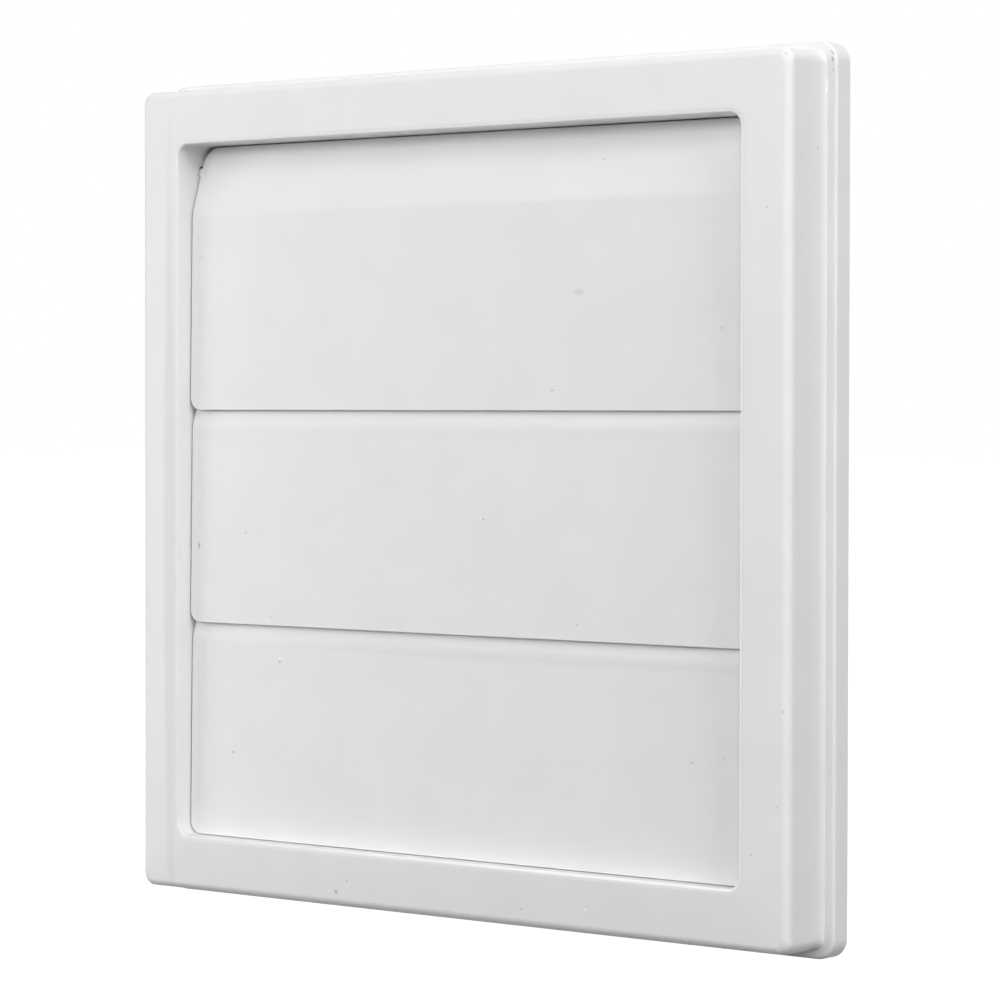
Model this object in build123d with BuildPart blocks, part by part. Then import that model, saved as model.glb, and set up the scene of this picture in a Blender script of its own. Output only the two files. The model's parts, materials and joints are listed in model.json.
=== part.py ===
from build123d import *
import os
from math import atan, cos, degrees, radians, sin, tan

# Gravity vent grille for a round duct, in millimetres.
# The wall is the XZ plane, the front of the grille faces -Y and the duct runs along +Y.
# The origin is on the duct axis, in the plane of the wall, and heights off the wall run towards the front.

# Wall plate: a flange with a rim that carries the frame and a shallow tray behind the flaps
plate_size = 140.0
plate_corner = 3.2
plate_depth = 3.6
plate_wall = 1.5
plate_edge_round = 0.5
skirt_wall = 1.6
tray_margin = 1.5
ledge_width = 1.6

# Front frame: a hollow square bezel around the opening
frame_depth = 9.6
frame_corner = 1.9
frame_wall = 2.0
frame_draft = 0.5
frame_edge_round = 1.6
foot_height = 1.6
foot_flare = 0.2
border_width = 9.3
opening_corner = 2.2
opening_edge_round = 0.6
reveal_floor_gap = 0.3

# Locating rib on the wall plate, with barbs that snap into pockets in the frame
rib_wall = 1.6
rib_height = 4.0
rib_clearance = 0.15
barb_count = 4
barb_length = 14.0
barb_height = 1.6
barb_reach = 0.5
barb_tip = 0.05
barb_lift = 1.2
pocket_clearance = 0.2

# Round spigot that enters the duct
spigot_radius = 49.2
spigot_wall = 2.0
spigot_length = 24.0
spigot_lead = 1.0

# Countersunk screw holes in the corners of the tray
screw_spacing = 92.0
screw_radius = 2.25
screw_head_radius = 4.2
screw_head_angle = 90.0
screw_boss_radius = 5.5
screw_boss_height = 1.0

# Flaps: bent sheets that hang from stub pins, each lapping over the one below
flap_names = ("upper_flap", "middle_flap", "lower_flap")
flap_thickness = 1.0
flap_face_depth = 3.05
flap_side_gap = 0.5
flap_top_gap = 0.35
flap_bottom_gap = 0.3
flap_lap = 4.0
flap_lap_gap = 0.27
flap_lean = 0.6
band_lean = 17.8
crease_radius = 4.0
flap_top_corner = 3.0
flap_bottom_corner = 1.4
pin_drop = 4.7
pin_radius = 1.0
pin_clearance = 0.1
pin_end_gap = 0.3
pin_root_length = 3.0
edge_tolerance = 1e-4

# Planes and places that follow from those sizes
frame_size = plate_size - 2 * ledge_width
opening = frame_size - 2 * border_width
front_height = plate_depth + frame_depth
wall_run = frame_depth - foot_height
wall_spread = wall_run * tan(radians(frame_draft))
foot_size = frame_size + 2 * (wall_spread + foot_flare)
foot_corner = frame_corner + wall_spread + foot_flare
channel_size = frame_size - 2 * frame_wall
channel_corner = frame_corner
reveal_size = opening + 2 * frame_wall
reveal_corner = opening_corner + frame_wall
reveal_end = plate_wall + reveal_floor_gap
tray_size = reveal_size + 2 * tray_margin
tray_corner = reveal_corner + tray_margin
groove_inner = tray_size + 2 * plate_wall
groove_outer = plate_size - 2 * skirt_wall
rib_outer = channel_size - 2 * rib_clearance
rib_inner = rib_outer - 2 * rib_wall
barb_base = plate_depth + barb_lift

# The flaps share out the opening's height between the top pin and the gap under the lowest flap
pin_pitch = (opening - pin_drop - flap_bottom_gap - flap_lap) / len(flap_names)
pin_heights = [opening / 2 - pin_drop - row * pin_pitch for row in range(len(flap_names))]
flap_reach = pin_pitch + flap_lap
flap_width = opening - 2 * flap_side_gap
pin_length = flap_side_gap + frame_wall - pin_end_gap

# Section of a flap, from the pin axis: the upper band leans back and its middle plane holds the pin axis
band_slope = tan(radians(band_lean))
plate_slope = tan(radians(flap_lean))
lap_depth = flap_face_depth + flap_thickness + flap_lap_gap
pin_depth = lap_depth + flap_lap * band_slope + flap_thickness / 2 / cos(radians(band_lean))
pin_y = pin_depth - front_height
bottom_forward = pin_depth - flap_face_depth - flap_thickness / 2
crease_drop = (bottom_forward - flap_reach * plate_slope) / (band_slope - plate_slope)
crease_forward = crease_drop * band_slope
lip_rise = pin_drop - flap_top_gap - flap_thickness / 2 * sin(radians(band_lean))

os.makedirs("parts", exist_ok=True)

# Front frame
with BuildPart() as front_frame:
    # Foot that flares out to the edge on the ledge
    with BuildSketch(Plane.XZ.offset(plate_depth)):
        RectangleRounded(foot_size, foot_size, foot_corner)
    extrude(amount=foot_height, taper=degrees(atan(foot_flare / foot_height)))
    # Outer walls with a slight draft
    with BuildSketch(Plane.XZ.offset(plate_depth + foot_height)):
        RectangleRounded(foot_size - 2 * foot_flare, foot_size - 2 * foot_flare, foot_corner - foot_flare)
    extrude(amount=wall_run, taper=frame_draft)
    fillet(front_frame.faces().sort_by(Axis.Y)[0].outer_wire().edges(), radius=frame_edge_round)
    # Reveal walls that reach past the ledge, nearly to the floor of the tray
    with BuildSketch(Plane.XZ.offset(reveal_end)):
        RectangleRounded(reveal_size, reveal_size, reveal_corner)
    extrude(amount=plate_depth - reveal_end)
    # Hollow between the outer walls and the reveal
    with BuildSketch(Plane.XZ.offset(plate_depth)):
        RectangleRounded(channel_size, channel_size, channel_corner)
        RectangleRounded(reveal_size, reveal_size, reveal_corner, mode=Mode.SUBTRACT)
    extrude(amount=frame_depth - frame_wall, mode=Mode.SUBTRACT)
    # Opening with a rounded front edge
    with BuildSketch(Plane.XZ.offset(reveal_end)):
        RectangleRounded(opening, opening, opening_corner)
    extrude(amount=front_height - reveal_end, mode=Mode.SUBTRACT)
    front_face = front_frame.faces().filter_by(Axis.Y).sort_by(Axis.Y)[0]
    fillet(front_face.inner_wires()[0].edges(), radius=opening_edge_round)
    # Hinge holes through the two side reveal walls
    with BuildSketch(Plane.YZ):
        with Locations(*[(pin_y, height) for height in pin_heights]):
            Circle(pin_radius + pin_clearance)
    extrude(amount=reveal_size / 2, both=True, mode=Mode.SUBTRACT)
    # Pockets for the barbs, inside each outer wall
    with BuildSketch(Plane.XZ.offset(barb_base - pocket_clearance)):
        with PolarLocations(channel_size / 2, barb_count):
            Rectangle(2 * barb_reach, barb_length + 2 * pocket_clearance)
    extrude(amount=barb_height + 2 * pocket_clearance, mode=Mode.SUBTRACT)
front_frame.part.label = "front_frame"
export_step(front_frame.part, "parts/front_frame.step")

# Wall plate
with BuildPart() as wall_plate:
    with BuildSketch(Plane.XZ):
        RectangleRounded(plate_size, plate_size, plate_corner)
    extrude(amount=plate_depth)
    fillet(wall_plate.faces().sort_by(Axis.Y)[0].outer_wire().edges(), radius=plate_edge_round)
    # Tray in front and relief groove behind leave an even moulded wall
    with BuildSketch(Plane.XZ.offset(plate_wall)):
        RectangleRounded(tray_size, tray_size, tray_corner)
    extrude(amount=plate_depth - plate_wall, mode=Mode.SUBTRACT)
    with BuildSketch(Plane.XZ):
        RectangleRounded(groove_outer, groove_outer, plate_corner - skirt_wall)
        RectangleRounded(groove_inner, groove_inner, tray_corner + plate_wall, mode=Mode.SUBTRACT)
    extrude(amount=plate_depth - plate_wall, mode=Mode.SUBTRACT)
    # Locating rib inside the frame's outer walls
    with BuildSketch(Plane.XZ.offset(plate_depth)):
        RectangleRounded(rib_outer, rib_outer, channel_corner - rib_clearance)
        Rectangle(rib_inner, rib_inner, mode=Mode.SUBTRACT)
    extrude(amount=rib_height)
    # Barbs that slope in towards the front, so that the frame pushes on
    with BuildSketch(Plane.XZ.offset(barb_base)):
        with PolarLocations(rib_outer / 2, barb_count):
            Rectangle(2 * barb_reach, barb_length)
    extrude(amount=barb_height, taper=degrees(atan((barb_reach - barb_tip) / barb_height)))
    # Screw bosses on the floor of the tray
    with BuildSketch(Plane.XZ.offset(plate_wall)):
        with GridLocations(screw_spacing, screw_spacing, 2, 2):
            Circle(screw_boss_radius)
    extrude(amount=screw_boss_height)
    # Spigot and the air way through it
    with BuildSketch(Plane.XZ):
        Circle(spigot_radius)
    extrude(amount=-spigot_length)
    with BuildSketch(Plane.XZ.offset(-spigot_length)):
        Circle(spigot_radius - spigot_wall)
    extrude(amount=spigot_length + plate_wall, mode=Mode.SUBTRACT)
    chamfer(wall_plate.faces().sort_by(Axis.Y)[-1].outer_wire().edges(), length=spigot_lead)
    with Locations(Plane.XZ.offset(plate_wall + screw_boss_height)):
        with GridLocations(screw_spacing, screw_spacing, 2, 2):
            CounterSinkHole(screw_radius, screw_head_radius, counter_sink_angle=screw_head_angle)
wall_plate.part.label = "wall_plate"
export_step(wall_plate.part, "parts/wall_plate.step")

# Flaps
for flap_name, pin_z in zip(flap_names, pin_heights):
    with BuildPart() as flap:
        # Bent sheet: leaning band, soft crease, main plate
        with BuildSketch(Plane.YZ):
            with BuildLine():
                FilletPolyline(
                    (pin_y + lip_rise * band_slope, pin_z + lip_rise),
                    (pin_y - crease_forward, pin_z - crease_drop),
                    (pin_y - bottom_forward, pin_z - flap_reach),
                    radius=crease_radius,
                )
            trace(line_width=flap_thickness)
        extrude(amount=flap_width / 2, both=True)
        corners = flap.edges().filter_by(lambda edge: abs(edge.length - flap_thickness) < edge_tolerance)
        fillet(corners.sort_by(Axis.Z)[-2:], radius=flap_top_corner)
        fillet(corners.sort_by(Axis.Z)[:2], radius=flap_bottom_corner)
        # Stub pins at both ends, each on a root that swells out of the back of the band only
        for side in (-1, 1):
            with BuildSketch(Plane.YZ.offset(side * (flap_width / 2 - pin_root_length))):
                with Locations(
                    (
                        pin_y + flap_thickness / 2 * cos(radians(band_lean)),
                        pin_z - flap_thickness / 2 * sin(radians(band_lean)),
                    )
                ):
                    Circle(pin_radius)
            extrude(amount=side * pin_root_length)
            with BuildSketch(Plane.YZ.offset(side * flap_width / 2)):
                with Locations((pin_y, pin_z)):
                    Circle(pin_radius)
            extrude(amount=side * pin_length)
    flap.part.label = flap_name
    export_step(flap.part, f"parts/{flap_name}.step")
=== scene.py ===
"""Looks of a square gravity vent grille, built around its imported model.

Five white mouldings are modelled here: a hollow front frame, a wall plate with a duct spigot and three
hinged flaps. All places are in metres in the part's own frame: the wall is the XZ plane, the front faces
-Y and +Z is up.
"""

import json
import logging
import math
from collections.abc import Callable, Iterator
from dataclasses import dataclass
from enum import Enum
from itertools import product

import bmesh
import bpy
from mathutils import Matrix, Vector


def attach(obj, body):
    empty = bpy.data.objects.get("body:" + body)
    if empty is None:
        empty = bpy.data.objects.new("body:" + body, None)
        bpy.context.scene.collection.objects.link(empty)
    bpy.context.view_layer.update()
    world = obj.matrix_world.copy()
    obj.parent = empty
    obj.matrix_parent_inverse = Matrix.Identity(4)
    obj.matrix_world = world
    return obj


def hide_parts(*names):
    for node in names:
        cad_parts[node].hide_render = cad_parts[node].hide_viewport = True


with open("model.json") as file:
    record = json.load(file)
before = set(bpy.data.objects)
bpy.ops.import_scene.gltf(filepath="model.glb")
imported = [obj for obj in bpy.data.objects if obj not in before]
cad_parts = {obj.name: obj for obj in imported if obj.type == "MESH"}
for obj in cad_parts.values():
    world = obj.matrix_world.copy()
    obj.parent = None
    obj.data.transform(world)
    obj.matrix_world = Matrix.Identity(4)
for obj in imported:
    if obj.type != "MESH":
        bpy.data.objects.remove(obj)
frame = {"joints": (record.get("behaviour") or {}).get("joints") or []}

LOG = logging.getLogger("vent_grille")
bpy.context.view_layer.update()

Piece = bpy.types.Object
Tree = bpy.types.NodeTree
Socket = bpy.types.NodeSocket
PointTest = Callable[[Vector], bool]
Span = tuple[float, float]
Triple = tuple[float, float, float]

# A millimetre, the distance within which two places are one, and the gap that holds outlines apart
MM = 0.001
SAME_PLACE = 2e-6
HELD_APART = 20 * MM

# Edges sharper than this stay sharp, and large faces lead the normals by this weight
SHARP_DEG = 32.0
FACE_WEIGHT = 90

# Ranges between which masks and noise are mapped
FULL_TO_NONE: Span = (1.0, 0.0)
SPOT_FADE: Span = (0.5, 1.0)
MOTTLE_RANGE: Span = (0.35, 0.65)
GLOSS_RANGE: Span = (0.3, 0.7)

# Height of the painted lap shadow in the fold under a lap, above its flap's lower edge, in millimetres
PAINTED_SHADOW_RISE = 35.0


class End(Enum):
    """The two ends of a flap, by the sign of X."""

    LEFT = -1
    RIGHT = 1


class Cut(Enum):
    """How one solid changes another."""

    JOIN = "UNION"
    CARVE = "DIFFERENCE"


def object_mode() -> None:
    """Leave edit mode with nothing selected."""
    if bpy.context.object is not None and bpy.context.object.mode == "EDIT":
        bpy.ops.object.mode_set(mode="OBJECT")
    bpy.ops.object.select_all(action="DESELECT")


def make_active(piece: Piece) -> None:
    """Select one object alone and make it the active one.

    Args:
        piece: The object that the next operators act on.
    """
    object_mode()
    piece.select_set(True)
    bpy.context.view_layer.objects.active = piece


def empty_mesh(name: str) -> Piece:
    """Make an object with nothing in its mesh, and enter edit mode on it.

    Args:
        name: Name of the piece.

    Returns:
        The new object, active and in edit mode.
    """
    object_mode()
    bpy.ops.mesh.primitive_plane_add(size=MM)
    piece = bpy.context.object
    piece.name = name
    piece.data.name = name
    bpy.ops.object.mode_set(mode="EDIT")
    bpy.ops.mesh.select_all(action="SELECT")
    bpy.ops.mesh.delete(type="VERT")
    bpy.ops.mesh.select_mode(type="EDGE")
    return piece


def select_edges(*tests: PointTest) -> None:
    """Select the edges, in edit mode, that lie with both ends inside one of the tests.

    Args:
        tests: Each says whether a point belongs to the wanted place.
    """
    mesh = bpy.context.object.data
    bpy.ops.mesh.select_mode(type="EDGE")
    bpy.ops.mesh.select_all(action="DESELECT")
    shape = bmesh.from_edit_mesh(mesh)
    for edge in shape.edges:
        edge.select = any(test(edge.verts[0].co) and test(edge.verts[1].co) for test in tests)
    shape.select_flush_mode()
    bmesh.update_edit_mesh(mesh)


def select_points(test: PointTest) -> None:
    """Select the vertices, in edit mode, that pass a test of their place.

    Args:
        test: Says whether a point is wanted.
    """
    mesh = bpy.context.object.data
    bpy.ops.mesh.select_mode(type="VERT")
    bpy.ops.mesh.select_all(action="DESELECT")
    shape = bmesh.from_edit_mesh(mesh)
    for point in shape.verts:
        point.select = test(point.co)
    shape.select_flush_mode()
    bmesh.update_edit_mesh(mesh)


def near(first: float, second: float) -> bool:
    """Say whether two lengths are the same within the modelling tolerance."""
    return abs(first - second) < SAME_PLACE


def apply_modifier(piece: Piece, kind: str, **settings: object) -> None:
    """Add a modifier to a piece, set it up and apply it.

    Args:
        piece: The object to change.
        kind: Blender's name for the modifier.
        settings: Values for the modifier's own fields.
    """
    make_active(piece)
    bpy.ops.object.modifier_add(type=kind)
    modifier = piece.modifiers[-1]
    for name, value in settings.items():
        setattr(modifier, name, value)
    bpy.ops.object.modifier_apply(modifier=modifier.name)


def combine(piece: Piece, tool: Piece, cut: Cut) -> None:
    """Join a solid to a piece or carve it out, and remove the solid.

    Args:
        piece: The object to change.
        tool: The closed solid that is joined or carved out.
        cut: Which of the two.
    """
    apply_modifier(piece, "BOOLEAN", object=tool, operation=cut.value, solver="EXACT")
    bpy.data.objects.remove(tool)


def smooth(piece: Piece) -> None:
    """Shade the rounds smoothly and keep the flats flat.

    Args:
        piece: The finished object.
    """
    make_active(piece)
    bpy.ops.object.mode_set(mode="EDIT")
    bpy.ops.mesh.select_all(action="SELECT")
    bpy.ops.mesh.remove_doubles(threshold=SAME_PLACE)
    bpy.ops.mesh.normals_make_consistent(inside=False)
    bpy.ops.object.mode_set(mode="OBJECT")
    bpy.ops.object.shade_smooth_by_angle(angle=math.radians(SHARP_DEG))
    apply_modifier(piece, "WEIGHTED_NORMAL", keep_sharp=True, weight=FACE_WEIGHT)


@dataclass(frozen=True)
class Outline:
    """A closed outline across the duct axis: a square with round corners, or a circle.

    Attributes:
        half: Half the square's side, or the circle's radius.
        corner: Radius of the corners. A circle has its own radius here.
        y: Place along the duct axis.
        corner_steps: Edges in each round corner.
        side_steps: Edges along each straight side.
    """

    half: float
    corner: float
    y: float
    corner_steps: int = 8
    side_steps: int = 24

    def at(self, y: float) -> "Outline":
        """Give the same outline at another place along the axis."""
        return Outline(self.half, self.corner, y)

    def grown(self, by: float, y: float) -> "Outline":
        """Give the outline moved outwards evenly.

        Args:
            by: How far each side moves out. A negative value moves it in.
            y: Place of the new outline along the axis.

        Returns:
            The new outline.
        """
        return Outline(self.half + by, self.corner + by, y)

    def holds(self, point: Vector) -> bool:
        """Say whether a point lies on the outline."""
        straight = self.half - self.corner
        across = abs(point.x) - straight
        up = abs(point.z) - straight
        outside = math.hypot(max(across, 0.0), max(up, 0.0)) + min(max(across, up), 0.0)
        return near(point.y, self.y) and near(outside, self.corner)

    def draw(self) -> None:
        """Add the outline to the mesh in edit mode, as a loop of edges with no face."""
        place = {"location": (0.0, self.y, 0.0), "rotation": (math.pi / 2, 0.0, 0.0)}
        if near(self.half, self.corner):
            around = 4 * (self.corner_steps + self.side_steps)
            bpy.ops.mesh.primitive_circle_add(vertices=around, radius=self.half, **place)
            return
        bpy.ops.mesh.select_mode(type="VERT")
        bpy.ops.mesh.primitive_plane_add(size=2 * self.half, **place)
        bpy.ops.mesh.bevel(offset=self.corner, segments=self.corner_steps, affect="VERTICES")
        select_edges(self.holds)
        bpy.ops.mesh.delete(type="ONLY_FACE")
        for axis in (0, 2):
            for sign in (-1, 1):
                level = sign * self.half
                select_edges(lambda point: self.holds(point) and near(point[axis], level))
                bpy.ops.mesh.subdivide(number_cuts=self.side_steps - 1)


def bridge(first: Outline, second: Outline) -> None:
    """Join two outlines, in edit mode, with a band of faces.

    Outlines in one plane are held apart while they are joined, so that they pair up the right way round.

    Args:
        first: One outline.
        second: The next one along the section.
    """
    lift = Vector((0.0, HELD_APART if near(first.y, second.y) else 0.0, 0.0))
    lifted = second.at(second.y + lift.y)
    select_edges(second.holds)
    bpy.ops.transform.translate(value=lift)
    select_edges(first.holds, lifted.holds)
    bpy.ops.mesh.bridge_edge_loops()
    select_edges(lifted.holds)
    bpy.ops.transform.translate(value=-lift)


def loft(outlines: list[Outline]) -> None:
    """Draw outlines in the mesh in edit mode and join each to the next, and the last to the first.

    Args:
        outlines: The outlines, in order around the moulding's section.
    """
    for outline in outlines:
        outline.draw()
    for first, second in zip(outlines, outlines[1:] + outlines[:1]):
        bridge(first, second)


def round_over(outline: Outline, radius: float, steps: int) -> None:
    """Round the edge of the moulding that runs along an outline.

    Args:
        outline: Where the edge is.
        radius: Radius of the round.
        steps: Faces across the round.
    """
    select_edges(outline.holds)
    bpy.ops.mesh.bevel(offset=radius, segments=steps, affect="EDGES", profile=0.5)


def rod(radius: float, start: Vector, end: Vector, sides: int, bevel: float = 0.0) -> Piece:
    """Make a closed round rod between two points, with softened end edges.

    Args:
        radius: Radius of the rod.
        start: Centre of one end.
        end: Centre of the other end.
        sides: Faces around the rod.
        bevel: Width of the round at each end, or 0 for a sharp edge.

    Returns:
        The rod as an object at the origin.
    """
    object_mode()
    along = end - start
    turn = Vector((0.0, 0.0, 1.0)).rotation_difference(along).to_euler()
    bpy.ops.mesh.primitive_cylinder_add(
        vertices=sides, radius=radius, depth=along.length, location=(start + end) / 2, rotation=turn
    )
    bar = bpy.context.object
    bpy.ops.object.transform_apply(location=True, rotation=True, scale=True)
    if bevel > 0.0:
        apply_modifier(bar, "BEVEL", width=bevel, segments=2, limit_method="ANGLE")
    return bar


def block(low: Vector, high: Vector) -> Piece:
    """Make a closed block between two corners.

    Args:
        low: Lowest corner.
        high: Highest corner.

    Returns:
        The block as an object at the origin.
    """
    object_mode()
    bpy.ops.mesh.primitive_cube_add(size=1.0, location=(low + high) / 2)
    body = bpy.context.object
    body.scale = high - low
    bpy.ops.object.transform_apply(location=True, rotation=True, scale=True)
    return body


def four_blocks(reach: Span, depth: Span, half: float) -> Iterator[tuple[Piece, Vector]]:
    """Make a block on each of the four sides of a square around the duct axis, one at a time.

    Args:
        reach: How far the blocks' inner and outer faces are from the axis.
        depth: Where the blocks start and end along the axis.
        half: Half their length along the side.

    Yields:
        Each block, with the way out from the axis.
    """
    start, end = depth
    for sign in (-1, 1):
        low, high = sorted(sign * distance for distance in reach)
        yield block(Vector((low, start, -half)), Vector((high, end, half))), Vector((sign, 0.0, 0.0))
        yield block(Vector((-half, start, low)), Vector((half, end, high))), Vector((0.0, 0.0, sign))


@dataclass(frozen=True)
class Grain:
    """A noise pattern.

    Attributes:
        per_metre: How many blotches fit in a metre.
        detail: Octaves of finer noise.
    """

    per_metre: float
    detail: float

    def node(self, tree: Tree, place: Socket) -> bpy.types.Node:
        """Add the pattern to a material.

        Args:
            tree: The material's nodes.
            place: Coordinates of the pattern.

        Returns:
            The noise, about 0.5 in the mean.
        """
        made = tree.nodes.new("ShaderNodeTexNoise")
        made.inputs["Scale"].default_value = self.per_metre
        made.inputs["Detail"].default_value = self.detail
        tree.links.new(place, made.inputs["Vector"])
        return made


MOTTLE_GRAIN = Grain(90.0, 4.0)
GLOSS_GRAIN = Grain(140.0, 3.0)
SKIN_GRAIN = Grain(900.0, 2.0)
RAGGED_GRAIN = Grain(1800.0, 2.0)


def ranged(tree: Tree, level: Socket, start: Span, end: Span) -> Socket:
    """Map a level from one range to another, held at its ends.

    Args:
        tree: The material's nodes.
        level: The level to map.
        start: Range of the level as it comes.
        end: Range of the result.

    Returns:
        The mapped level.
    """
    node = tree.nodes.new("ShaderNodeMapRange")
    node.inputs["From Min"].default_value, node.inputs["From Max"].default_value = start
    node.inputs["To Min"].default_value, node.inputs["To Max"].default_value = end
    tree.links.new(level, node.inputs["Value"])
    return node.outputs["Result"]


def number_math(tree: Tree, operation: str, first: Socket, second: Socket) -> Socket:
    """Work out a number from two others.

    Args:
        tree: Nodes of a material or of the world.
        operation: Blender's name for the operation.
        first: One number.
        second: The other.

    Returns:
        The result.
    """
    node = tree.nodes.new("ShaderNodeMath")
    node.operation = operation
    tree.links.new(first, node.inputs[0])
    tree.links.new(second, node.inputs[1])
    return node.outputs["Value"]


def vector_math(tree: Tree, operation: str, *operands: Socket | Triple) -> Socket:
    """Work out a vector from others, or its length.

    Args:
        tree: The material's nodes.
        operation: Blender's name for the operation.
        operands: Sockets to link and plain values to set, in the node's order.

    Returns:
        The result: a number for a length, otherwise a vector.
    """
    node = tree.nodes.new("ShaderNodeVectorMath")
    node.operation = operation
    for index, operand in enumerate(operands):
        if isinstance(operand, Socket):
            tree.links.new(operand, node.inputs[index])
        else:
            node.inputs[index].default_value = operand
    return node.outputs["Value" if operation == "LENGTH" else "Vector"]


@dataclass(frozen=True)
class Mark:
    """A small blemish in a moulding's surface, also used for patches of painted shade and painted highlight,
    with its sizes in millimetres.

    Attributes:
        place: Centre of the mark.
        reach: Half-size of the mark along X, Y and Z. It fades out over the outer half.
        shade: Its brightness as a share of the plain colour's.
        turn_deg: How far it is turned about the duct axis.
        ragged: Whether its outline is uneven.
    """

    place: Triple
    reach: Triple
    shade: float
    turn_deg: float = 0.0
    ragged: bool = True

    def mask(self, tree: Tree, place: Socket) -> Socket:
        """Build the mark's mask: 1 at its middle, 0 outside it.

        Args:
            tree: The material's nodes.
            place: Object coordinates.

        Returns:
            The mask.
        """
        mapping = tree.nodes.new("ShaderNodeMapping")
        mapping.vector_type = "TEXTURE"
        mapping.inputs["Location"].default_value = Vector(self.place) * MM
        mapping.inputs["Rotation"].default_value = (0.0, math.radians(self.turn_deg), 0.0)
        mapping.inputs["Scale"].default_value = Vector(self.reach) * MM
        tree.links.new(place, mapping.inputs["Vector"])
        distance = vector_math(tree, "LENGTH", mapping.outputs["Vector"])
        return ranged(tree, distance, SPOT_FADE, FULL_TO_NONE)


@dataclass(frozen=True)
class PaintedHighlightEdge:
    """A painted highlight: a lighter line along an edge that runs around a square with round corners,
    standing in for the light that the edge's round catches.

    Attributes:
        straight: Half the length of the square's straight sides.
        start: Distance from the straight sides at which the line starts to fade.
        end: Distance at which it has faded out.
        behind: Place along the duct axis behind which there is no line.
        fade_in: Places along X where it starts and where it has its full strength.
        top: Height that it doesn't reach above.
        shade: Its brightness as a share of the plain colour's.
        fade: Length over which it fades out at the other limits.
    """

    straight: float
    start: float
    end: float
    behind: float
    fade_in: Span
    top: float
    shade: float
    fade: float = 0.2 * MM

    def mask(self, tree: Tree, place: Socket) -> Socket:
        """Build the line's mask from the distance to the square's straight part.

        Args:
            tree: The material's nodes.
            place: Object coordinates.

        Returns:
            The mask.
        """
        quarter = vector_math(tree, "ABSOLUTE", place)
        beyond = vector_math(tree, "SUBTRACT", quarter, (self.straight, 0.0, self.straight))
        outside = vector_math(tree, "MAXIMUM", beyond, (0.0, 0.0, 0.0))
        across = vector_math(tree, "MULTIPLY", outside, (1.0, 0.0, 1.0))
        distance = vector_math(tree, "LENGTH", across)
        mask = ranged(tree, distance, (self.start, self.end), FULL_TO_NONE)
        split = tree.nodes.new("ShaderNodeSeparateXYZ")
        tree.links.new(place, split.inputs["Vector"])
        limits = (
            ("X", self.fade_in[::-1]),
            ("Y", (self.behind - self.fade, self.behind)),
            ("Z", (self.top - self.fade, self.top)),
        )
        for axis, span in limits:
            mask = number_math(tree, "MULTIPLY", mask, ranged(tree, split.outputs[axis], span, FULL_TO_NONE))
        return mask


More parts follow.
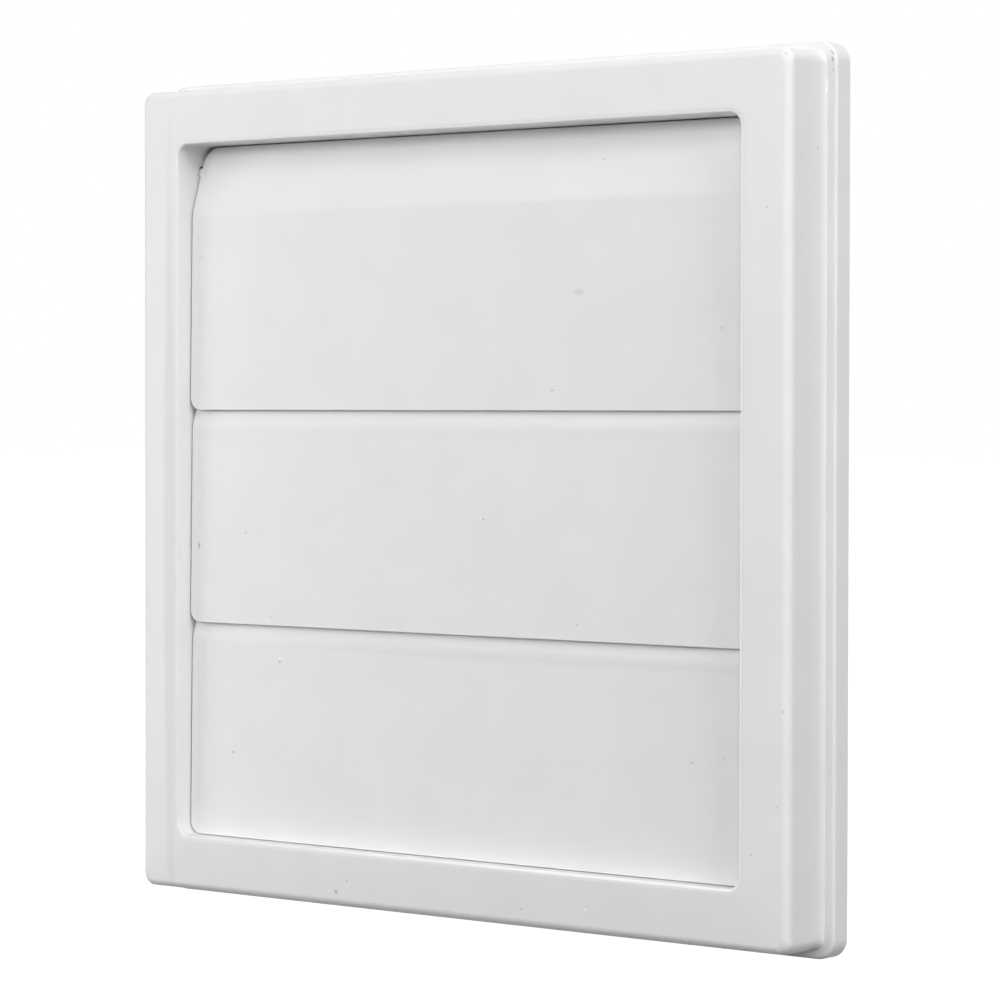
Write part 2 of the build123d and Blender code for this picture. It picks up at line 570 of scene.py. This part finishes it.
@dataclass(frozen=True)
class MouldedWhite:
    """Semi-gloss white moulded plastic with a faint mottle, a fine skin and a few marks, some of them painted
    shade and painted highlights.

    Attributes:
        name: Name of the material.
        white: Level of the plain colour.
        warmth: Level of blue in the darker blotches, as a share.
        mottle: How far the colour wanders from its mean, as a share.
        roughness: Mean roughness of the skin.
        roughness_swing: How far the roughness wanders from its mean.
        ior: Index of refraction.
        specular: Strength of the reflection.
        skin_height: Height of the fine skin's relief.
        marks: Single blemishes that the finish carries, and patches of painted shade and painted highlight.
        edge: A painted highlight along an edge, if the moulding has one.
        raggedness: How far noise shifts the outline of a ragged mark.
    """

    name: str
    white: float = 0.80
    warmth: float = 0.998
    mottle: float = 0.012
    roughness: float = 0.36
    roughness_swing: float = 0.03
    ior: float = 1.5
    specular: float = 0.3
    skin_height: float = 0.004 * MM
    marks: tuple[Mark, ...] = ()
    edge: PaintedHighlightEdge | None = None
    raggedness: float = 0.3 * MM

    def material(self) -> bpy.types.Material:
        """Make the material's nodes.

        Returns:
            The new material.
        """
        made = bpy.data.materials.new(self.name)
        made.use_nodes = True
        tree = made.node_tree
        shader = tree.nodes["Principled BSDF"]
        place = tree.nodes.new("ShaderNodeTexCoord").outputs["Object"]
        tree.links.new(self.colour(tree, place), shader.inputs["Base Color"])
        tree.links.new(self.gloss(tree, place), shader.inputs["Roughness"])
        tree.links.new(self.relief(tree, place), shader.inputs["Normal"])
        shader.inputs["IOR"].default_value = self.ior
        shader.inputs["Specular IOR Level"].default_value = self.specular
        return made

    def colour(self, tree: Tree, place: Socket) -> Socket:
        """Build the colour: a white that wanders slightly, with marks, painted shade and painted highlights.

        Args:
            tree: The material's nodes.
            place: Object coordinates.

        Returns:
            The colour.
        """
        ramp = tree.nodes.new("ShaderNodeValToRGB")
        low, high = self.white * (1 - self.mottle), self.white * (1 + self.mottle)
        darker, lighter = ramp.color_ramp.elements
        darker.color = (low, low, low * self.warmth, 1.0)
        lighter.color = (high, high, high, 1.0)
        darker.position, lighter.position = MOTTLE_RANGE
        tree.links.new(MOTTLE_GRAIN.node(tree, place).outputs["Fac"], ramp.inputs["Fac"])
        colour = ramp.outputs["Color"]
        uneven = self.shaken(tree, place) if self.marks else place
        # Marks, among them patches of painted shade and painted highlight
        for mark in self.marks:
            mask = mark.mask(tree, uneven if mark.ragged else place)
            colour = self.shaded(tree, colour, mask, mark.shade)
        # Painted highlight along the edge, mixed in over the marks
        if self.edge is not None:
            colour = self.shaded(tree, colour, self.edge.mask(tree, place), self.edge.shade)
        return colour

    def shaded(self, tree: Tree, colour: Socket, mask: Socket, shade: float) -> Socket:
        """Mix a lighter or darker white into the colour.

        Args:
            tree: The material's nodes.
            colour: The colour so far.
            mask: How much of the other white shows.
            shade: That white's brightness as a share of the plain colour's.

        Returns:
            The mixed colour.
        """
        node = tree.nodes.new("ShaderNodeMix")
        node.data_type = "RGBA"
        tree.links.new(mask, node.inputs["Factor"])
        tree.links.new(colour, node.inputs["A"])
        level = self.white * shade
        node.inputs["B"].default_value = (level, level, level, 1.0)
        return node.outputs["Result"]

    def shaken(self, tree: Tree, place: Socket) -> Socket:
        """Shift coordinates a little by a fine noise, so that what is drawn on them has an uneven outline.

        Args:
            tree: The material's nodes.
            place: Object coordinates.

        Returns:
            The shifted coordinates.
        """
        noise = RAGGED_GRAIN.node(tree, place).outputs["Color"]
        centred = vector_math(tree, "SUBTRACT", place, (self.raggedness / 2,) * 3)
        return vector_math(tree, "MULTIPLY_ADD", noise, (self.raggedness,) * 3, centred)

    def gloss(self, tree: Tree, place: Socket) -> Socket:
        """Build the roughness, which wanders a little over the surface.

        Args:
            tree: The material's nodes.
            place: Object coordinates.

        Returns:
            The roughness.
        """
        noise = GLOSS_GRAIN.node(tree, place).outputs["Fac"]
        span = (self.roughness - self.roughness_swing, self.roughness + self.roughness_swing)
        return ranged(tree, noise, GLOSS_RANGE, span)

    def relief(self, tree: Tree, place: Socket) -> Socket:
        """Build the fine relief of the moulded skin.

        Args:
            tree: The material's nodes.
            place: Object coordinates.

        Returns:
            The bumped normal.
        """
        bump = tree.nodes.new("ShaderNodeBump")
        bump.inputs["Strength"].default_value = 1.0
        bump.inputs["Distance"].default_value = self.skin_height
        tree.links.new(SKIN_GRAIN.node(tree, place).outputs["Fac"], bump.inputs["Height"])
        return bump.outputs["Normal"]


def dress(piece: Piece, finish: MouldedWhite, node: str, body: str) -> None:
    """Give a piece its material and put it in the place of its node.

    Args:
        piece: The finished object.
        finish: Its finish.
        node: The node that it stands for.
        body: The body that it moves with.
    """
    piece.data.materials.clear()
    piece.data.materials.append(finish.material())
    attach(piece, body)
    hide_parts(node)
    LOG.info("%s: %d faces on %s", piece.name, len(piece.data.polygons), body)


@dataclass
class FrontFrame:
    """The hollow bezel: drafted outer walls, a border that falls off outwards and drilled reveal walls."""

    # Outer walls, which flare out to the foot on the ledge
    half: float = 68.4 * MM
    corner: float = 1.9 * MM
    wall: float = 2.0 * MM
    draft: float = 0.07 * MM
    foot: float = -3.6 * MM
    foot_height: float = 1.6 * MM
    foot_flare: float = 0.2 * MM
    flare_steps: int = 5
    # The bezel is taller than it is wide, so its side walls stand further in
    side_in: float = 0.4 * MM
    side_slack: float = 0.05 * MM
    # Border, from its inner edge to its rounded outer one
    front: float = -13.45 * MM
    crown: float = 0.5 * MM
    edge_round: float = 1.4 * MM
    edge_steps: int = 8
    # Opening, with a shallow shoulder and a round along its edge
    opening: float = 59.1 * MM
    opening_corner: float = 2.2 * MM
    shoulder: Span = (0.95 * MM, 0.6 * MM)
    shoulder_drop: float = 0.08 * MM
    lip_round: float = 0.32 * MM
    lip_steps: int = 5
    reveal_end: float = -1.8 * MM
    # Hinge holes, and pockets for the wall plate's barbs
    hole_radius: float = 1.22 * MM
    hole_rise: float = 0.12 * MM
    hole_sides: int = 40
    pocket: Span = (-6.6 * MM, -4.6 * MM)
    pocket_half: float = 7.2 * MM
    pocket_depth: float = 0.5 * MM
    name: str = "front_frame_moulding"

    def build(self, pins: list[Vector]) -> Piece:
        """Model the bezel.

        Args:
            pins: The hinge axes' middles.

        Returns:
            The finished object.
        """
        piece = empty_mesh(self.name)
        front = Outline(self.half, self.corner, self.front + self.crown)
        wall_foot = front.grown(self.draft, self.foot - self.foot_height)
        opening = Outline(self.opening, self.opening_corner, self.front)
        lip = self.front + self.shoulder_drop
        outer, inner = self.shoulder
        rim = [opening.grown(outer, self.front), opening.grown(inner, lip), opening.at(lip)]
        reveal_back = opening.at(self.reveal_end)
        reveal_out = reveal_back.grown(self.wall, self.reveal_end)
        roof = self.front + self.crown + self.wall
        channel = Outline(self.half - self.wall, self.corner, roof)
        section = [*self.flare(wall_foot), wall_foot, front, *rim, reveal_back, reveal_out]
        section += [reveal_out.at(roof), channel, channel.at(self.foot)]
        loft(section)
        round_over(front, self.edge_round, self.edge_steps)
        round_over(opening.at(lip), self.lip_round, self.lip_steps)
        self.narrow_sides()
        self.carve_holes(piece, pins)
        self.carve_pockets(piece)
        smooth(piece)
        return piece

    def narrow_sides(self) -> None:
        """Move the left and right outer walls in, in edit mode."""
        skin = self.half - self.corner - self.side_slack
        for end in End:
            select_points(lambda point: point.x * end.value > skin)
            bpy.ops.transform.translate(value=(-end.value * self.side_in, 0.0, 0.0))

    def flare(self, wall_foot: Outline) -> list[Outline]:
        """Give the outlines of the hollow curve by which the walls widen to the ledge.

        Args:
            wall_foot: Outline where the curve leaves the wall.

        Returns:
            The outlines from the ledge up, without that one.
        """
        rings = []
        for step in range(self.flare_steps):
            rise = step / self.flare_steps
            widening = self.foot_flare * (1 - rise) ** 2
            rings.append(wall_foot.grown(widening, self.foot - self.foot_height * rise))
        return rings

    def carve_holes(self, piece: Piece, pins: list[Vector]) -> None:
        """Drill the hinge holes through both side reveal walls.

        Args:
            piece: The bezel.
            pins: The hinge axes' middles.
        """
        inside, outside = self.opening - self.wall / 2, self.opening + 1.5 * self.wall
        for pin, end in product(pins, End):
            height = pin.z + self.hole_rise
            start = Vector((end.value * inside, pin.y, height))
            stop = Vector((end.value * outside, pin.y, height))
            combine(piece, rod(self.hole_radius, start, stop, self.hole_sides), Cut.CARVE)

    def carve_pockets(self, piece: Piece) -> None:
        """Cut the four pockets that the wall plate's barbs click into.

        Args:
            piece: The bezel.
        """
        inner = self.half - self.wall
        reach = (inner - self.pocket_depth, inner + self.pocket_depth)
        for pocket, _ in four_blocks(reach, self.pocket, self.pocket_half):
            combine(piece, pocket, Cut.CARVE)


@dataclass
class WallPlate:
    """The flange on the wall: a skirt and ledge, a tray with screw bosses, and the duct spigot."""

    # Flange, with an even wall between the tray in front and the groove behind
    half: float = 70.0 * MM
    corner: float = 3.2 * MM
    front: float = -3.6 * MM
    edge_round: float = 0.5 * MM
    edge_steps: int = 5
    wall: float = 1.5 * MM
    tray: float = 62.6 * MM
    tray_corner: float = 5.7 * MM
    groove_inner: float = 64.1 * MM
    groove_inner_corner: float = 7.2 * MM
    groove_outer: float = 68.4 * MM
    groove_outer_corner: float = 1.6 * MM
    # Rib inside the frame's outer walls, and its barbs
    rib_outer: float = 66.25 * MM
    rib_corner: float = 1.75 * MM
    rib_wall: float = 1.6 * MM
    rib_top: float = -7.6 * MM
    barb: Span = (-6.4 * MM, -4.8 * MM)
    barb_half: float = 7.0 * MM
    barb_reach: float = 0.5 * MM
    barb_slope: float = 0.9
    # Spigot
    bore: float = 47.2 * MM
    spigot: float = 49.2 * MM
    spigot_end: float = 24.0 * MM
    spigot_lead: float = 1.0 * MM
    # Screw holes, cut past the plate's faces by a spare length, and their bosses
    screw: float = 46.0 * MM
    screw_radius: float = 2.25 * MM
    screw_sides: int = 48
    head_radius: float = 4.2 * MM
    spare: float = 1.0 * MM
    boss_radius: float = 5.5 * MM
    boss_height: float = 1.0 * MM
    boss_round: float = 0.2 * MM
    boss_sides: int = 64
    name: str = "wall_plate_moulding"

    def build(self) -> Piece:
        """Model the wall plate.

        Returns:
            The finished object.
        """
        piece = empty_mesh(self.name)
        back = Outline(self.half, self.corner, 0.0)
        front = back.at(self.front)
        rib_foot = Outline(self.rib_outer, self.rib_corner, self.front)
        rib_inner = Outline(self.rib_outer - self.rib_wall, self.rib_corner, self.rib_top)
        tray_edge = Outline(self.tray, self.tray_corner, self.front)
        bore = Outline(self.bore, self.bore, -self.wall)
        spigot = Outline(self.spigot, self.spigot, 0.0)
        groove = Outline(self.groove_inner, self.groove_inner_corner, 0.0)
        groove_out = Outline(self.groove_outer, self.groove_outer_corner, self.front + self.wall)
        section = [back, front, rib_foot, rib_foot.at(self.rib_top), rib_inner, rib_inner.at(self.front)]
        section += [tray_edge, tray_edge.at(-self.wall), bore, bore.at(self.spigot_end)]
        section += [spigot.grown(-self.spigot_lead, self.spigot_end)]
        section += [spigot.at(self.spigot_end - self.spigot_lead), spigot]
        section += [groove, groove.at(self.front + self.wall), groove_out, groove_out.at(0.0)]
        loft(section)
        round_over(front, self.edge_round, self.edge_steps)
        self.add_barbs(piece)
        self.add_screw_bosses(piece)
        smooth(piece)
        return piece

    def add_barbs(self, piece: Piece) -> None:
        """Join the four barbs to the rib, each sloping in towards the front.

        Args:
            piece: The wall plate.
        """
        front, tip = self.barb[0], self.rib_outer + self.barb_reach
        reach = (self.rib_outer - self.barb_reach, tip)
        for barb, way in four_blocks(reach, self.barb, self.barb_half):
            make_active(barb)
            bpy.ops.object.mode_set(mode="EDIT")
            select_points(lambda point: near(point.y, front) and near(point.dot(way), tip))
            bpy.ops.transform.translate(value=way * -self.barb_slope * self.barb_reach)
            bpy.ops.object.mode_set(mode="OBJECT")
            combine(piece, barb, Cut.JOIN)

    def add_screw_bosses(self, piece: Piece) -> None:
        """Raise a boss in each corner of the tray and carve its countersunk screw hole.

        Args:
            piece: The wall plate.
        """
        top = -self.wall - self.boss_height
        for x, z in product((-self.screw, self.screw), repeat=2):
            foot, face = Vector((x, -self.wall / 2, z)), Vector((x, top, z))
            combine(piece, rod(self.boss_radius, foot, face, self.boss_sides, self.boss_round), Cut.JOIN)
            start, stop = Vector((x, self.spare, z)), Vector((x, top - self.spare, z))
            combine(piece, rod(self.screw_radius, start, stop, self.screw_sides), Cut.CARVE)
            combine(piece, self.countersink(face), Cut.CARVE)

    def countersink(self, face: Vector) -> Piece:
        """Make the cone that carves the seat of a screw head.

        Args:
            face: Where the screw's axis meets the boss's face.

        Returns:
            The cone as an object at the origin.
        """
        sink = self.head_radius - self.screw_radius
        object_mode()
        bpy.ops.mesh.primitive_cone_add(
            vertices=self.screw_sides,
            radius1=self.screw_radius,
            radius2=self.head_radius + self.spare,
            depth=sink + self.spare,
            location=(face.x, face.y + (sink - self.spare) / 2, face.z),
            rotation=(math.pi / 2, 0.0, 0.0),
        )
        bpy.ops.object.transform_apply(location=True, rotation=True, scale=True)
        return bpy.context.object


@dataclass
class Flap:
    """One hinged flap: a bent sheet with stub pins, which laps over the next one down."""

    node: str
    pin: Vector
    # Bent sheet: a band that leans back, a crease and the main plate, measured from the pins
    half: float = 58.87 * MM
    thickness: float = 1.3 * MM
    band_lean_deg: float = 17.8
    plate_lean_deg: float = 0.82
    lip_rise: float = 4.35 * MM
    reach: float = 40.6 * MM
    bottom_forward: float = 2.71 * MM
    columns: int = 24
    # Rounds
    crease_radius: float = 4.0 * MM
    crease_steps: int = 6
    top_corner: float = 3.0 * MM
    top_steps: int = 8
    bottom_corner: float = 2.1 * MM
    bottom_steps: int = 6
    edge_round: float = 0.16 * MM
    edge_steps: int = 3
    edge_angle_deg: float = 50.0
    # Stub pins, and the roots that carry them behind the band
    pin_radius: float = 1.0 * MM
    pin_length: float = 2.05 * MM
    pin_overlap: float = 0.05 * MM
    pin_round: float = 0.15 * MM
    pin_sides: int = 32
    root_length: float = 3.0 * MM

    def build(self) -> Piece:
        """Model the flap.

        Returns:
            The finished object.
        """
        piece = empty_mesh(f"{self.node}_moulding")
        band = math.tan(math.radians(self.band_lean_deg))
        plate = math.tan(math.radians(self.plate_lean_deg))
        drop = (self.bottom_forward - self.reach * plate) / (band - plate)
        top, crease, bottom = self.pin.z + self.lip_rise, self.pin.z - drop, self.pin.z - self.reach
        self.sheet(top, crease, bottom, drop * band)
        self.soften(top, crease, bottom)
        apply_modifier(piece, "SOLIDIFY", thickness=self.thickness, offset=0.0, use_even_offset=True)
        apply_modifier(
            piece,
            "BEVEL",
            width=self.edge_round,
            segments=self.edge_steps,
            limit_method="ANGLE",
            angle_limit=math.radians(self.edge_angle_deg),
        )
        self.add_pins(piece)
        smooth(piece)
        return piece

    def sheet(self, top: float, crease: float, bottom: float, crease_forward: float) -> None:
        """Lay out the sheet's middle surface: the leaning band and the main plate.

        Args:
            top: Height of the lip.
            crease: Height of the crease.
            bottom: Height of the lower edge.
            crease_forward: How far the crease stands in front of the pins.
        """
        band = math.tan(math.radians(self.band_lean_deg))
        bpy.ops.mesh.primitive_plane_add(
            size=2 * self.half, location=(0.0, self.pin.y, top - self.half), rotation=(math.pi / 2, 0.0, 0.0)
        )
        select_points(lambda point: point.z < top - self.half)
        bpy.ops.transform.translate(value=(0.0, -crease_forward, crease - (top - 2 * self.half)))
        select_points(lambda point: near(point.z, top))
        bpy.ops.transform.translate(value=(0.0, self.lip_rise * band, 0.0))
        select_edges(lambda point: near(point.z, crease))
        bpy.ops.mesh.extrude_edges_move(
            TRANSFORM_OT_translate={"value": (0.0, crease_forward - self.bottom_forward, bottom - crease)}
        )

    def soften(self, top: float, crease: float, bottom: float) -> None:
        """Round the crease and the corners, then cut the sheet into columns.

        Args:
            top: Height of the lip.
            crease: Height of the crease.
            bottom: Height of the lower edge.
        """
        bend = math.radians(self.band_lean_deg - self.plate_lean_deg)
        select_edges(lambda point: near(point.z, crease))
        setback = self.crease_radius * math.tan(bend / 2)
        bpy.ops.mesh.bevel(offset=setback, segments=self.crease_steps, affect="EDGES")
        select_points(lambda point: near(point.z, top))
        bpy.ops.mesh.bevel(offset=self.top_corner, segments=self.top_steps, affect="VERTICES")
        select_points(lambda point: near(point.z, bottom))
        bpy.ops.mesh.bevel(offset=self.bottom_corner, segments=self.bottom_steps, affect="VERTICES")
        for column in range(1, self.columns):
            bpy.ops.mesh.select_all(action="SELECT")
            place = self.half * (2 * column / self.columns - 1)
            bpy.ops.mesh.bisect(plane_co=(place, 0.0, 0.0), plane_no=(1.0, 0.0, 0.0))

    def add_pins(self, piece: Piece) -> None:
        """Join a stub pin to each end, on a root behind the band.

        Args:
            piece: The flap's sheet.
        """
        lean = math.radians(self.band_lean_deg)
        behind = Vector((0.0, math.cos(lean), -math.sin(lean))) * self.thickness / 2
        for end in End:
            side = Vector((end.value * self.half, self.pin.y, self.pin.z))
            out = Vector((float(end.value), 0.0, 0.0))
            root = (side - out * self.root_length + behind, side + behind)
            pin = (side - out * self.pin_overlap, side + out * self.pin_length)
            for start, stop in (root, pin):
                combine(piece, rod(self.pin_radius, start, stop, self.pin_sides, self.pin_round), Cut.JOIN)


@dataclass(frozen=True)
class SoftBox:
    """A rectangular studio lamp with an even face, turned to the grille.

    Attributes:
        name: Name of the lamp.
        azimuth_deg: Where it stands around the grille: 0 is in front, 90 is on the right.
        elevation_deg: How high it stands above the horizon.
        width: Width of its face.
        height: Height of its face.
        watts: Its power.
        distance: How far it stands from the grille.
    """

    name: str
    azimuth_deg: float
    elevation_deg: float
    width: float
    height: float
    watts: float
    distance: float = 1.2

    def light(self) -> bpy.types.Object:
        """Add the lamp.

        Returns:
            The lamp's object.
        """
        lamp = bpy.data.lights.new(self.name, "AREA")
        lamp.shape = "RECTANGLE"
        lamp.size, lamp.size_y = self.width, self.height
        lamp.energy = self.watts
        holder = bpy.data.objects.new(self.name, lamp)
        bpy.context.scene.collection.objects.link(holder)
        around, up = math.radians(self.azimuth_deg), math.radians(self.elevation_deg)
        level = Vector((math.sin(around), -math.cos(around), 0.0)) * math.cos(up)
        holder.location = (level + Vector((0.0, 0.0, math.sin(up)))) * self.distance
        holder.rotation_euler = (-holder.location).to_track_quat("-Z", "Y").to_euler()
        return holder


LAMPS = (
    SoftBox("front", -5.0, 14.0, 0.6, 0.36, 5.2),
    SoftBox("left_low", -60.0, -2.0, 0.15, 0.25, 0.32, 0.35),
    SoftBox("left_near", -32.0, 27.0, 0.25, 0.25, 0.35, 0.5),
    SoftBox("right_front", 38.0, 8.0, 0.36, 0.36, 1.4),
    SoftBox("right_near", 45.0, 30.0, 0.2, 0.2, 0.4, 0.5),
    SoftBox("right_side", 74.0, 22.0, 0.45, 0.36, 6.0),
    SoftBox("right_high", 90.0, 45.0, 0.36, 0.36, 2.8),
    SoftBox("overhead", 180.0, 80.0, 0.6, 0.36, 3.3),
    SoftBox("back", 180.0, 0.0, 0.6, 0.6, 6.0),
)


@dataclass
class Studio:
    """A pale floor, a white surround, soft lamps, and a camera with the photograph's view."""

    lamps: tuple[SoftBox, ...]
    floor_level: float = -0.115
    floor_reach: float = 8.0
    floor_grey: float = 0.03
    floor_roughness: float = 0.9
    camera_place: Triple = (0.39597, -0.48341, 0.01415)
    camera_turn_deg: Triple = (88.6208, -0.0812, 39.2316)
    lens_mm: float = 137.034
    sensor_mm: float = 36.0
    clip_range: Span = (0.01, 100.0)

    def build(self) -> None:
        """Set up the floor, the surround, the lamps and the camera."""
        self.lay_floor()
        self.light_surround()
        for lamp in self.lamps:
            lamp.light()
            LOG.info("lamp %s at %.1f W", lamp.name, lamp.watts)
        self.place_camera()
        bpy.context.scene.view_settings.view_transform = "Standard"

    def seen_directly(self, tree: Tree) -> Socket:
        """Say which rays look at the background: those of the camera, of gloss and of glass.

        Args:
            tree: Nodes of the floor's material or of the world.

        Returns:
            1 for those rays, 0 for the others.
        """
        path = tree.nodes.new("ShaderNodeLightPath")
        either = number_math(tree, "MAXIMUM", path.outputs["Is Camera Ray"], path.outputs["Is Glossy Ray"])
        return number_math(tree, "MAXIMUM", either, path.outputs["Is Transmission Ray"])

    def lay_floor(self) -> None:
        """Lay a floor below the grille that is white where it is looked at and sends little light back up."""
        object_mode()
        bpy.ops.mesh.primitive_plane_add(size=2 * self.floor_reach, location=(0.0, 0.0, self.floor_level))
        floor = bpy.context.object
        floor.name = "floor"
        made = bpy.data.materials.new("pale_floor")
        made.use_nodes = True
        tree = made.node_tree
        shader = tree.nodes["Principled BSDF"]
        shader.inputs["Base Color"].default_value = (*(self.floor_grey,) * 3, 1.0)
        shader.inputs["Roughness"].default_value = self.floor_roughness
        shader.inputs["Emission Color"].default_value = (1.0, 1.0, 1.0, 1.0)
        tree.links.new(self.seen_directly(tree), shader.inputs["Emission Strength"])
        floor.data.materials.append(made)

    def light_surround(self) -> None:
        """Make the world white where it is looked at, with no light from it on the grille."""
        world = bpy.data.worlds.new("surround")
        bpy.context.scene.world = world
        world.use_nodes = True
        tree = world.node_tree
        background = tree.nodes["Background"]
        background.inputs["Color"].default_value = (1.0, 1.0, 1.0, 1.0)
        tree.links.new(self.seen_directly(tree), background.inputs["Strength"])

    def place_camera(self) -> None:
        """Add the camera at the photograph's viewing angle."""
        lens = bpy.data.cameras.new("camera")
        lens.lens = self.lens_mm
        lens.sensor_width = self.sensor_mm
        lens.clip_start, lens.clip_end = self.clip_range
        camera = bpy.data.objects.new("camera", lens)
        bpy.context.scene.collection.objects.link(camera)
        camera.location = self.camera_place
        camera.rotation_euler = [math.radians(turn) for turn in self.camera_turn_deg]
        bpy.context.scene.camera = camera


def frame_marks(pins: list[Vector]) -> tuple[Mark, ...]:
    """Give the front frame's marks: painted shade of a sink line by the left reveal wall, painted shade in
    the hinge holes, specks and chips.

    Args:
        pins: The hinge axes' middles.

    Returns:
        The marks.
    """
    # Painted shade standing in for the shading of a shallow sink over the left reveal wall
    sink = Mark((-61.0, -13.2, -8.0), (1.8, 3.0, 80.0), 0.90, ragged=False)
    # Painted shade inside the hinge holes, where the pins sit deep in shadow
    holes = [Mark((-60.5, pin.y / MM, pin.z / MM), (1.4, 3.0, 3.0), 0.08, ragged=False) for pin in pins]
    dots = [(61.5, -53.5), (64.0, 44.5), (67.0, 67.5), (-20.5, -64.0), (16.5, -65.5), (67.0, -31.5)]
    front = [Mark((x, -13.2, z), (0.28, 2.0, 0.22), 0.75) for x, z in dots]
    blot = Mark((-23.0, -13.2, -66.0), (0.45, 2.0, 0.4), 0.62)
    fleck = Mark((29.5, -13.2, -64.5), (0.35, 2.0, 0.3), 1.2)
    curl = Mark((66.0, -13.0, -46.0), (0.5, 2.0, 0.14), 0.8, 30.0)
    side = [
        Mark((68.4, -5.8, 53.5), (1.0, 0.14, 0.55), 0.6),
        Mark((68.4, -10.0, 52.0), (1.0, 0.5, 0.12), 0.8),
        Mark((68.3, -3.7, 63.4), (0.6, 0.22, 1.1), 1.16),
        Mark((68.3, -3.75, 62.5), (0.6, 0.35, 0.35), 1.18),
    ]
    return (sink, *holes, *front, blot, fleck, curl, *side)


def plate_marks() -> tuple[Mark, ...]:
    """Give the wall plate's marks: dust on the ledge in its top right corner.

    Returns:
        The marks.
    """
    dust = [
        (69.0, 68.4, 0.22, 0.75),
        (69.25, 68.1, 0.28, 0.6),
        (69.1, 67.5, 0.2, 0.75),
        (69.2, 67.2, 0.28, 0.55),
        (69.3, 66.9, 0.25, 0.65),
        (69.4, 65.5, 0.22, 0.78),
    ]
    return tuple(Mark((x, -3.6, z), (size, 0.5, size), shade) for x, z, size, shade in dust)


def flap_marks(node: str, lower_edge: float, left_edge: float) -> tuple[Mark, ...]:
    """Give a flap's marks: painted shadow in the fold under a lap, painted highlights along the lower and
    left edges, painted shadow in a strip by the left edge, specks and scratches.

    Args:
        node: The flap.
        lower_edge: Height of its lower edge, in millimetres.
        left_edge: Place of its left edge, in millimetres.

    Returns:
        The marks.
    """
    # Painted shadow of the lap above, over the fold of the middle and lower flaps
    painted_lap_shadow_shades = {"upper_flap": (), "middle_flap": (0.975,), "lower_flap": (0.92,)}
    crease = (20.0, -9.0, lower_edge + PAINTED_SHADOW_RISE)
    fold = tuple(Mark(crease, (90.0, 6.0, 3.2), shade, ragged=False) for shade in painted_lap_shadow_shades[node])
    # Painted highlight along the lower edge, painted shadow of the left reveal wall in a strip by the left
    # edge, and painted highlight along the left edge
    edges = (
        Mark((-20.0, -9.9, lower_edge + 0.1), (120.0, 4.0, 0.17), 1.12, ragged=False),
        Mark((left_edge + 1.0, -9.9, lower_edge + 20.0), (1.3, 6.0, 90.0), 0.97, ragged=False),
        Mark((left_edge + 0.15, -9.9, lower_edge + 20.0), (0.2, 6.0, 90.0), 1.12, ragged=False),
    )
    own = {
        "upper_flap": (
            Mark((25.5, -10.0, 32.5), (1.3, 3.0, 0.6), 0.87),
            Mark((20.5, -10.0, 17.0), (0.45, 3.0, 0.2), 0.7),
            Mark((-56.5, -10.0, 40.0), (0.4, 3.0, 0.22), 0.82, 30.0),
            Mark((53.5, -10.0, 26.5), (0.25, 3.0, 0.3), 0.8),
            Mark((29.0, -8.2, 53.5), (0.35, 3.0, 0.22), 0.74),
            Mark((36.0, -10.0, 23.0), (0.35, 3.0, 0.22), 1.12),
        ),
        "middle_flap": (
            Mark((-57.0, -10.0, -9.5), (0.35, 3.0, 0.7), 0.62),
            Mark((-46.0, -10.0, -7.0), (0.3, 3.0, 0.45), 0.78, -25.0),
            Mark((-40.0, -10.0, -21.0), (0.35, 3.0, 0.2), 0.76),
            Mark((6.1, -10.0, -3.7), (0.3, 3.0, 0.22), 0.72),
            Mark((5.5, -10.0, -3.5), (0.3, 3.0, 0.22), 1.18),
            Mark((25.5, -10.0, -20.0), (0.35, 3.0, 0.2), 0.8),
            Mark((-19.3, -10.0, -13.5), (3.0, 3.0, 0.14), 1.06, 20.0),
        ),
        "lower_flap": (
            Mark((-38.5, -10.0, -28.7), (0.4, 3.0, 0.25), 0.65),
            Mark((-38.5, -10.0, -28.2), (0.35, 3.0, 0.2), 1.18),
            Mark((-49.0, -10.0, -44.5), (0.4, 3.0, 0.28), 0.7),
            Mark((48.0, -10.0, -40.5), (0.5, 3.0, 0.25), 0.8),
            Mark((54.0, -10.0, -39.5), (0.3, 3.0, 0.2), 0.78),
        ),
    }
    return fold + edges + own[node]


def hinge_axes() -> dict[str, Vector]:
    """Read where each flap turns.

    Returns:
        The middle of each flap's hinge axis, by the flap's body.
    """
    return {joint["child"]: Vector(joint["pos_m"]) for joint in frame["joints"]}


def main() -> None:
    """Model the five mouldings, dress them and set up the studio."""
    logging.basicConfig(level=logging.INFO, format="%(name)s: %(message)s")
    axes = hinge_axes()
    pins = list(axes.values())
    bezel = FrontFrame().build(pins)
    # Painted highlight along the opening's lip, where its round catches the light: full on the right side,
    # fading out towards the left, and kept off the top edge
    lip = PaintedHighlightEdge(
        straight=56.9 * MM,
        start=2.5 * MM,
        end=2.7 * MM,
        behind=-12.7 * MM,
        fade_in=(-58.0 * MM, 20.0 * MM),
        top=58.6 * MM,
        shade=1.2,
    )
    bezel_white = MouldedWhite("frame_white", marks=frame_marks(pins), edge=lip)
    dress(bezel, bezel_white, "front_frame", "housing")
    plate = WallPlate().build()
    plate_white = MouldedWhite("plate_white", marks=plate_marks())
    dress(plate, plate_white, "wall_plate", "housing")
    for node, pin in axes.items():
        flap = Flap(node, pin)
        marks = flap_marks(node, (pin.z - flap.reach) / MM, -flap.half / MM)
        dress(flap.build(), MouldedWhite(f"{node}_white", marks=marks), node, node)
    Studio(LAMPS).build()


if __name__ == "__main__":
    main()
